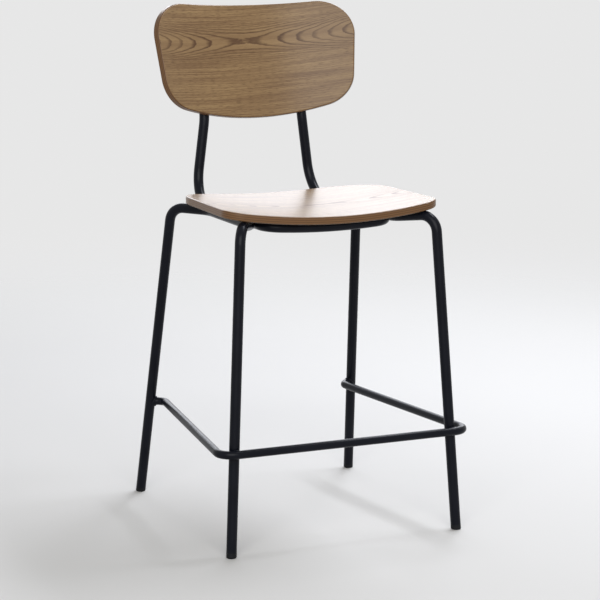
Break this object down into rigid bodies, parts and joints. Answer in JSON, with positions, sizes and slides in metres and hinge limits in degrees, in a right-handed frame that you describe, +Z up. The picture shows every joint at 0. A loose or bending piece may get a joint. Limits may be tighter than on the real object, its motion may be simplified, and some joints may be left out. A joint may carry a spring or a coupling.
{
  "type": "bar stool",
  "caption": "Bar stool with a dished plywood seat, a curved plywood backrest, splayed bent-tube legs and a wrap-round footrest rail.",
  "frame": {"origin": "floor level under the middle of the stool's bounding box", "axes": "+X across the stool, to the right as seen from its front; +Y to the back; +Z up"},
  "size_m": [0.5266, 0.535, 1.0093],
  "materials": {
    "plywood": "satin lacquer on brown-stained ash veneer",
    "powder_coat": "satin charcoal powder coat",
    "screw_steel": "zinc plated",
    "insert_brass": "plain",
    "black_plastic": "moulded"
  },
  "bodies": {
    "root": {"back_frame": "powder_coat", "backrest_inserts": "insert_brass", "backrest_panel": "plywood", "backrest_saddle_lower_left": "black_plastic", "backrest_saddle_lower_right": "black_plastic", "backrest_saddle_upper_left": "black_plastic", "backrest_saddle_upper_right": "black_plastic", "backrest_screws": "screw_steel", "foot_glide_front_left": "black_plastic", "foot_glide_front_right": "black_plastic", "foot_glide_rear_left": "black_plastic", "foot_glide_rear_right": "black_plastic", "footrest": "powder_coat", "post_plug_left": "black_plastic", "post_plug_right": "black_plastic", "seat_inserts": "insert_brass", "seat_panel": "plywood", "seat_saddle_front_left": "black_plastic", "seat_saddle_front_right": "black_plastic", "seat_saddle_rear_left": "black_plastic", "seat_saddle_rear_right": "black_plastic", "seat_screws": "screw_steel", "side_frame_left": "powder_coat", "side_frame_right": "powder_coat"}
  },
  "joints": []
}
